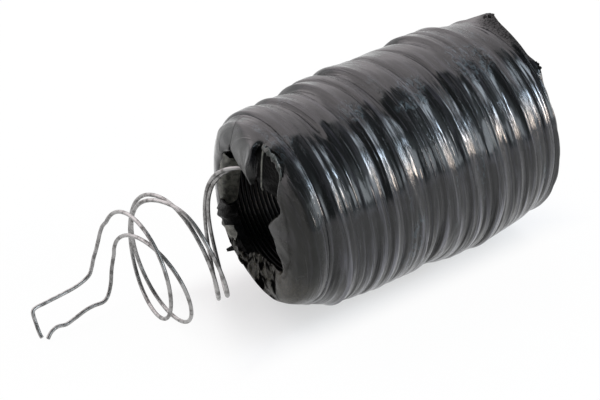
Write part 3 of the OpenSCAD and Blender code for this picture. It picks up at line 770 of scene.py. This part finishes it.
def makeTongue(film):
    # the tongue leaves the barrel's film behind the rim, bends over the rim and hangs over the bore
    tongue = {"thickness": 0.3, "grid": (80, 48), "seed": 41, "crumple": 0.05, "rows": [
        [polar(-47.0, 33.6, 22), polar(-47.0, 34.0, 10), polar(-47.0, 34.2, -1), polar(-47.0, 34.2, -8),
         polar(-47.2, 34.0, -14)],
        [polar(-49.6, 33.2, 22), polar(-50.0, 33.7, 10), polar(-50.2, 33.8, -1), polar(-50.2, 33.7, -7),
         polar(-50.2, 33.6, -12)],
        [(-51.6, 11.4, 30.4), (-52.4, 6.0, 32.2), (-52.8, 0.4, 32.8), (-52.9, -3.6, 32.6),
         (-52.0, -6.6, 32.0)],
        [(-54.0, 11.0, 23.4), (-55.0, 4.6, 26.6), (-55.7, -1.4, 29.4), (-56.0, -5.4, 31.2),
         (-53.4, -4.6, 29.4)],
        [(-54.6, 8.4, 21.0), (-55.6, 2.5, 24.5), (-56.2, -2.0, 26.8), (-56.5, -5.0, 28.0),
         (-53.2, -4.4, 26.2)],
        [(-55.0, 5.0, 19.2), (-55.8, 1.5, 21.0), (-56.3, -1.2, 22.4), (-56.6, -3.0, 23.2),
         (-53.2, -4.0, 22.2)],
        [(-55.4, 1.0, 17.8), (-55.8, -0.4, 18.4), (-56.1, -1.6, 18.8), (-56.4, -2.6, 19.2),
         (-53.8, -4.0, 18.8)],
        [(-55.8, -3.3, 15.6), (-55.9, -3.5, 15.8), (-55.9, -3.8, 16.0), (-56.0, -4.1, 16.4),
         (-55.2, -4.4, 16.4)],
    ]}
    piece = sheetPiece("filmTongue", tongue, film, body=None)
    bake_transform(piece)
    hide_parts("film_tongue", "film_hood")


def makeVeil(pale, beaded, folded):
    # a sheet painted near black as shade hangs behind the tongue from the rim's near half, with a rolled
    # edge in front of it and a beaded edge beside it, whose paler tones are partly painted highlights
    veil = {"thickness": 0.2, "grid": (48, 44), "seed": 43, "crumple": 0.30, "rows": [
        [(-52.8, -3.0, 31.6), (-52.4, -7.6, 32.0), (-51.6, -11.4, 31.6), (-51.0, -15.0, 30.2)],
        [(-54.0, -5.2, 27.4), (-53.4, -8.8, 28.4), (-52.4, -12.2, 28.8), (-51.0, -16.0, 27.6)],
        [(-54.0, -5.0, 21.0), (-53.0, -8.6, 21.8), (-52.6, -12.4, 22.4), (-50.8, -16.0, 22.6)],
        [(-53.8, -4.6, 17.4), (-53.2, -8.0, 17.6), (-51.8, -12.0, 18.6), (-50.6, -15.6, 18.8)],
        [(-53.6, -5.4, 15.2), (-52.8, -8.6, 14.8), (-51.8, -11.6, 14.4), (-50.6, -15.2, 13.6)],
    ]}
    # the veil is painted near black: shade over the bore
    sheetPiece("filmVeil", veil, folded)
    # the rolled edge is pale torn film, and its pale tone is also a painted highlight along the edge
    edge = {"radius": 0.26, "sides": 10, "steps": 60, "points": [
        (-52.6, -8.0, 32.4), (-54.4, -9.6, 31.6), (-55.2, -10.0, 28.4), (-55.2, -9.6, 24.4),
        (-55.1, -9.2, 20.4), (-55.0, -8.9, 17.6), (-54.7, -9.3, 16.4)]}
    path = curveThrough(np.array(edge["points"]) + [0, 0, roll["axisHeight"]], edge["steps"])
    points, faces = tube(path, edge["radius"], edge["sides"])
    meshPiece("filmRolledEdge", points, faces, pale, "roll")
    # the bead's greenish grey is partly a painted highlight along the rim's crest
    bead = {"least": 0.25, "swell": 0.5, "sides": 20, "steps": 90, "lumps": (44, 10, (2, 7), (-3, 3), 0.20),
            "points": [(-52.4, -7.2, 31.8), (-53.8, -9.2, 32.3), (-53.9, -11.8, 32.3), (-53.6, -13.5, 31.4),
                       (-53.4, -15.3, 30.2), (-53.2, -16.4, 28.6), (-53.0, -17.3, 26.2), (-52.8, -17.4, 23.0),
                       (-52.4, -16.8, 19.6)]}
    path = curveThrough(np.array(bead["points"]) + [0, 0, roll["axisHeight"]], bead["steps"])
    along = np.linspace(0, 1, len(path))
    radius = bead["least"] + bead["swell"] * np.sin(math.pi * along ** 0.6) ** 0.8
    points, faces = tube(path, radius, bead["sides"])
    around = 360 / bead["sides"] * np.arange(bead["sides"])[None, :]
    points = points + waves(np.arange(len(points))[:, None] * 0.4, around, *bead["lumps"])[..., None]
    meshPiece("filmBead", points, faces, beaded, "roll")


def makeSideLip(pale):
    # a pale lip turned inwards over the far side of the mouth: rows of (x, radius, angle)
    lip = {"thickness": 0.25, "grid": (36, 48), "seed": 45, "crumple": 0.12, "rows": [
        [polar(*place) for place in row] for row in (
            [(-50.9, 25.4, 54), (-51.0, 25.2, 70), (-51.0, 25.2, 88), (-50.8, 25.4, 110)],
            [(-50.2, 22.6, 55), (-50.2, 22.5, 71), (-50.2, 22.5, 89), (-50.0, 22.7, 110)],
            [(-48.0, 22.0, 57), (-48.0, 21.9, 72), (-48.0, 21.9, 89), (-48.2, 22.0, 110)],
            [(-46.0, 21.9, 60), (-46.0, 21.8, 74), (-46.0, 21.8, 89), (-46.8, 21.9, 109)],
            [(-45.6, 21.9, 66), (-44.0, 21.7, 77), (-44.2, 21.7, 90), (-46.2, 21.8, 108)],
        )]}
    sheetPiece("filmSideLip", lip, pale, replaced=["film_side_lip"])


def makeTatters(pale, folded):
    # loose points of torn film: each runs from a root across to a tip
    lump = {"thickness": 0.5, "grid": (48, 48), "seed": 46, "crumple": 0.7, "rows": [
        [(-51.4, 22.6, -5.6), (-53.4, 17.6, -3.4), (-53.2, 14.4, -3.0), (-50.6, 13.0, -3.0)],
        [(-52.6, 23.4, -8.8), (-54.6, 17.4, -6.0), (-54.6, 13.6, -4.6), (-51.4, 11.8, -4.4)],
        [(-52.8, 23.0, -11.2), (-54.8, 17.6, -8.8), (-54.8, 13.8, -7.4), (-51.6, 11.8, -6.8)],
        [(-51.8, 21.6, -14.0), (-53.6, 17.2, -12.4), (-53.4, 14.4, -11.2), (-51.0, 12.8, -11.0)],
    ]}
    grey = {"thickness": 0.25, "grid": (30, 24), "seed": 47, "crumple": 0.30, "rows": [
        [(-51.4, 22.6, -13.4), (-51.8, 18.8, -12.2), (-51.4, 15.2, -11.4)],
        [(-52.2, 21.8, -15.4), (-52.6, 18.2, -14.2), (-51.8, 14.2, -13.4)],
        [(-52.2, 19.6, -17.4), (-52.4, 16.8, -16.4), (-51.8, 13.6, -15.4)],
        [(-51.6, 18.0, -19.4), (-52.0, 15.8, -18.6), (-51.4, 13.8, -17.8)],
    ]}
    spike = {"thickness": 0.3, "grid": (24, 14), "seed": 49, "crumple": 0.12, "rows": [
        [(-50.4, 13.2, -18.0), (-50.8, 11.0, -19.0), (-50.6, 8.8, -20.8)],
        [(-51.8, 15.6, -21.0), (-52.0, 14.6, -21.6), (-51.6, 13.2, -22.6)],
        [(-53.0, 18.8, -24.4), (-53.1, 18.5, -24.7), (-53.0, 18.2, -25.0)],
    ]}
    scrap = {"thickness": 0.25, "grid": (16, 20), "seed": 50, "crumple": 0.25, "rows": [
        [(-51.0, 15.6, -22.0), (-51.4, 12.6, -22.6), (-51.0, 9.6, -23.4)],
        [(-51.6, 15.4, -23.6), (-52.0, 12.6, -24.2), (-51.6, 9.8, -24.8)],
    ]}
    # the lump and the point are painted near black as shade in the mouth
    sheetPiece("filmLump", lump, folded)
    sheetPiece("filmTatterPale", grey, pale, replaced=["film_tatters"])
    sheetPiece("filmTatterPoint", spike, folded)
    sheetPiece("filmTatterScrap", scrap, pale)


def makeBackCollar(film, folded):
    # the last pass stands off the shoulder between two pinched corners; its root lies just under the wrap.
    # Edge: angle, radius and x
    collar = {"root": 47.6, "sink": 0.25, "rows": [], "thickness": 0.25, "grid": (30, 150), "seed": 53,
              "crumple": 0.08, "shares": (0.0, 0.25, 0.5, 0.75, 1.0), "edge": (
                  (30, 36.6, 51.2), (19, 37.8, 52.6), (12, 39.2, 54.2), (8, 39.4, 54.4),
                  (2, 37.8, 53.8), (-8, 36.6, 53.4), (-17, 36.0, 53.2), (-25, 35.8, 53.0),
                  (-31, 36.6, 53.4), (-36, 36.6, 53.4), (-43, 35.4, 52.6), (-54, 34.8, 51.6))}
    for share in collar["shares"]:
        row = []
        for a, edgeR, edgeX in collar["edge"]:
            x = collar["root"] + (edgeX - collar["root"]) * share
            skin = filmRadius(np.array([min(x, roll["shoulderBackX"])]), np.array([a]))
            base = float(skin[0]) - collar["sink"]
            row.append(polar(x, base + (edgeR - base) * share ** 1.6, a))
        collar["rows"].append(row)
    sheetPiece("filmBackCollar", collar, film, replaced=["film_back_lip"])
    knots = {"filmBackKnotFar": {"a": 10.5, "r": 38.4, "shift": 0.0, "seed": 55},
             "filmBackKnotNear": {"a": -33.5, "r": 36.0, "shift": -0.8, "seed": 56}}
    ridge = ((52.4, 0.0), (53.6, 0.6), (54.7, 0.5), (55.0, -0.6))
    for name, knot in knots.items():
        knot.update({"thickness": 0.5, "grid": (24, 24), "crumple": 0.5})
        knot["rows"] = [[polar(x + knot["shift"], knot["r"] + rise, knot["a"] + turn)
                         for turn in (-2.4, 0.0, 2.4)] for x, rise in ridge]
        # the pinched corners are painted near black as shade in their folds
        sheetPiece(name, knot, folded)


# ---- finishes ----

def filmFinish():
    # glossy black film, whitened in thin lines along its pull and lighter on its crests, partly as whitened
    # film and partly as a painted highlight, with smears and with patches of fine wrinkles tinted by a
    # painted bluish sheen. Dull film is mixed in as a plain diffuse surface round the mouth, which is dusty,
    # and as painted shade, near black, in pockets below the mouth, at the back edge and in the valleys.
    look = {"black": (0.0055, 0.006, 0.0065), "worn": (0.024, 0.024, 0.025),
            "stretched": (0.046, 0.044, 0.054), "bluishSheen": (0.045, 0.062, 0.072), "dust": (0.040, 0.037, 0.026),
            "crest": (0.150, 0.147, 0.168), "pocket": (0.002, 0.002, 0.002), "dull": (0.022, 0.022, 0.018),
            "drab": (0.078, 0.072, 0.056), "smooth": 0.10, "rough": 0.28}
    # places on the roll, in mm, angles in radians: a share rises from the first value to the second
    zone = {"upper": (-16.0, 8.0), "pastMouth": (-53.0, -47.5), "overDust": (-16.0, -6.0),
            "pocketAngle": (2.2, 2.45), "pastPocket": (-52.0, -50.4), "pocketY": (-17.0, -13.0),
            "edge": (49.6, 53.4), "edgeHigh": (20.0, 28.0), "pastEdgeY": (5.0, 12.0),
            "pastFace": (-52.0, -46.5), "overFace": (17.0, 27.0), "pastFaceY": (4.0, 14.0),
            "barrel": (-48.0, -45.0), "strongCrests": (-20.0, 20.0)}
    # patches of wrinkles: x, angle, half length and half angle
    patches = [(4.0, -0.33, 6.0, 0.14), (30.0, -0.30, 9.0, 0.26), (0.0, -0.49, 7.0, 0.07),
               (-21.0, -0.32, 4.5, 0.14)]
    finish = Finish(bpy.data.materials.new("stretchedFilm"))
    x, y, z = finish.objectPlace()
    high = z - roll["axisHeight"]
    angle = y.angleWith(high)

    # noises: round the roll as if its skin were flat, and drawn out along the pull
    around = finish.joined(x, angle * 9.0, (y * y + high * high) ** 0.5 * 0.3)
    pulled = finish.joined(x + angle * 2.0, angle * 1.7, 0.0)
    fine = finish.noise(pulled, 1.3, 4.0, 0.65)
    lines = finish.noise(pulled, 0.8, 4.0, 0.7).between(0.50, 0.64)
    streaks = finish.noise(finish.joined(x + angle * 1.2, angle * 0.9, 3.0), 0.9, 2.0, 0.5)
    wisps = finish.noise(finish.joined(x + angle * 1.6, angle * 1.1, 5.0), 1.1, 4.0, 0.6).between(0.40, 0.62)
    bands = finish.noise(finish.joined(x + angle * 1.5, angle * 0.6, 7.0), 0.42, 3.0, 0.6)
    calm = finish.noise(around, 0.12, 2.0, 0.5, 0.8).between(0.40, 0.60)
    broad = finish.noise(around, 0.16, 2.0, 0.5, 0.6)
    dust = finish.noise(finish.joined(x, y, z), 1.6, 4.0, 0.7)
    smear = finish.noise(around, 0.30, 4.0, 0.65, 1.2).between(0.52, 0.68)
    wrinkles = finish.noise(finish.joined(x * 0.7, angle * 12.0, 0.0), 1.1, 3.0, 0.6, 0.8)
    pocket = finish.noise(finish.joined(x, y, z * 0.7), 0.26, 3.0, 0.55, 0.6).between(0.38, 0.56)

    # where each of them shows
    patch = finish.noise(around, 0.11, 2.0, 0.5, 0.4).between(0.60, 0.66) * 0.6
    for middle, turn, length, width in patches:
        off = ((x - middle) / length) ** 2.0 + ((angle - turn) / width) ** 2.0 + (dust - 0.5) * 1.5
        patch = patch.most(1 - off.between(0.5, 1.2))
    below = 1 - high.between(*zone["upper"])
    mouth = 1 - x.between(*zone["pastMouth"])
    dusty = mouth * (1 - high.between(*zone["overDust"])) * dust.between(0.3, 0.7)
    raised = finish.node("ShaderNodeAttribute", {"attribute_name": "reliefHeight"}, output="Fac")
    # crests are lightened in wisps, most in the lower half: partly whitened film, partly a painted highlight
    crest = raised.between(0.02, 0.18) * wisps
    crest = crest * (below * (x.between(*zone["strongCrests"]) * 0.35 + 0.5) + 0.10)
    # valleys are painted shade: near black dull film is mixed in, most in the lower half
    valleyShade = (0.0 - raised).between(0.02, 0.20) * (below * 0.5 + 0.12)
    # pockets in the crumpled film below the mouth are painted shade, near black
    pocket = pocket * angle.size().between(*zone["pocketAngle"]) * (1 - x.between(*zone["pastPocket"]))
    pocket = pocket * y.between(*zone["pocketY"])
    # a mottled band along the back edge is painted shade: near black dull film
    edge = (x + dust * 4.0).between(*zone["edge"]) * high.between(*zone["edgeHigh"])
    edge = edge * (1 - y.between(*zone["pastEdgeY"]))
    face = (1 - x.between(*zone["pastFace"])) * (1 - high.between(*zone["overFace"]))
    face = face * (1 - y.between(*zone["pastFaceY"]))

    # the wrinkle patches take a bluish tint: a painted sheen of reflected light
    layers = [(smear * 0.6 + dust * 0.2, "worn"), (lines * (below * 0.2 + 0.45), "stretched"),
              (patch * wrinkles.between(0.48, 0.62) * 0.8, "bluishSheen"), (crest, "crest"), (dusty * 0.9, "dust")]
    colour = look["black"]
    for share, name in layers:
        colour = finish.mixedColour(share, colour, look[name])
    rough = (smear * 0.7 + patch * 0.6 + mouth * 0.4).least(1.0) * (look["rough"] - look["smooth"])
    # bumps: height, distance and strength
    bumps = [(fine, 0.0003, calm * 0.5 + 0.14), (streaks.between(0.58, 0.63), 0.00012, 0.8),
             (wrinkles, 0.0003, patch * 0.9), (broad, 0.0012, 0.5), (bands, 0.001, below * 0.7)]
    normal = None
    for height, distance, strength in bumps:
        normal = finish.bump(height, distance, strength, normal)
    shader = finish.gloss(colour, rough + look["smooth"], Normal=normal)
    # dull film: dusty round the mouth, and near black as painted shade in pockets, at the back edge and in
    # valleys
    dullAndShadeColour = finish.mixedColour(dusty, look["dull"], look["drab"])
    paintedShade = pocket.most(edge).most(x.between(*zone["barrel"]))
    dullAndShadeColour = finish.mixedColour(paintedShade, dullAndShadeColour, look["pocket"])
    dull = finish.node("ShaderNodeBsdfDiffuse", Color=dullAndShadeColour)
    edge = edge * (dust.between(0.44, 0.60) * 0.5 + 0.35)
    share = pocket.most(face * 0.5).most(edge).most(valleyShade)
    return finish.surface(finish.node("ShaderNodeMixShader", Fac=share, input1=shader, input2=dull))


def foldedShadeFinish():
    # film crumpled on itself, painted near black as shade and nearly without shine, for sheets that lie in
    # the shadow of the mouth and of pinched corners
    look = {"dark": (0.0008, 0.0008, 0.0008), "grey": (0.0035, 0.0035, 0.003)}
    finish = Finish(bpy.data.materials.new("foldedShadeFilm"))
    grain = finish.noise(finish.joined(*finish.objectPlace()), 0.7, 4.0, 0.6)
    colour = finish.mixedColour(grain.between(0.45, 0.75), look["dark"], look["grey"])
    normal = finish.bump(grain, 0.0008, 0.8)
    return finish.surface(finish.gloss(colour, 0.42, Normal=normal, Specular_IOR_Level=0.05))


def tornFinish(name, palest):
    # the stretched, dusty film of torn edges: paler and duller. On the rolled edge and the bead at the mouth
    # the paler tone is also a painted highlight
    look = {"pale": palest, "dark": (0.030, 0.030, 0.024)}
    finish = Finish(bpy.data.materials.new(name))
    place = finish.joined(*finish.objectPlace())
    cloud = finish.noise(place, 0.45, 3.0, 0.6, 0.5).between(0.36, 0.60)
    grain = finish.noise(place, 2.4, 4.0, 0.7)
    colour = finish.mixedColour(cloud * 0.75 + grain * 0.25, look["dark"], look["pale"])
    normal = finish.bump(grain, 0.0003, 0.8)
    return finish.surface(finish.gloss(colour, 0.32, Normal=normal))


def steelFinish():
    # soft annealed wire, grey with darker stains, and painted dark as shade in the bore, near black on the
    # bore's floor behind the mouth's lower edge as a painted shadow of that edge
    look = {"grey": (0.36, 0.355, 0.35), "dark": (0.16, 0.155, 0.15), "inside": (0.024, 0.024, 0.025),
            "deepest": (0.003, 0.003, 0.003), "mouth": (-54.5, -51.0), "lean": 0.875, "floor": (-54.0, -45.0)}
    finish = Finish(bpy.data.materials.new("annealedSteel"))
    x, y, z = finish.objectPlace()
    place = finish.joined(x, y, z)
    stain = finish.noise(place, 0.35, 4.0, 0.6).between(0.42, 0.68)
    grain = finish.noise(place, 4.0, 3.0, 0.6)
    # in the bore the wire is painted dark as shade, and near black where the lower lip's shadow falls
    inside = x.between(*look["mouth"])
    lipShadow = 1 - (x * look["lean"] + z - roll["axisHeight"]).between(*look["floor"])
    colour = look["grey"]
    for share, name in ((stain, "dark"), (inside, "inside"), (inside * lipShadow, "deepest")):
        colour = finish.mixedColour(share, colour, look[name])
    rough = stain * 0.15 + 0.30 + grain * 0.1
    normal = finish.bump(grain, 0.00003, 0.5)
    return finish.surface(finish.gloss(colour, rough, Metallic=0.9, Normal=normal))


def packedFinish():
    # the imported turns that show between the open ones: darker, with stains
    look = {"grey": (0.10, 0.10, 0.105), "dark": (0.02, 0.02, 0.02)}
    finish = Finish(bpy.data.materials.new("packedSteel"))
    stain = finish.noise(finish.joined(*finish.objectPlace()), 0.5, 4.0, 0.6).between(0.4, 0.7)
    colour = finish.mixedColour(stain, look["grey"], look["dark"])
    return finish.surface(finish.gloss(colour, stain * 0.2 + 0.4, Metallic=0.8))


scene = bpy.context.scene
scene.view_settings.view_transform = "Standard"
placeCamera()
lightStudio()
layFloor()
print("camera, light and floor are in place")
steel, packed, film = steelFinish(), packedFinish(), filmFinish()
pale, folded = tornFinish("tornFilm", (0.19, 0.19, 0.16)), foldedShadeFinish()
# the bead's finish is partly a painted highlight along the rim's crest
beaded = tornFinish("beadedFilm", (0.042, 0.048, 0.044))
makeWires(steel)
makePackedWire(packed)
makeFilmWrap(film)
makeFrontFold(film)
makeBackFold(film)
makeTongue(film)
makeVeil(pale, beaded, folded)
makeSideLip(pale)
makeTatters(pale, folded)
makeBackCollar(film, folded)

bpy.context.view_layer.update()
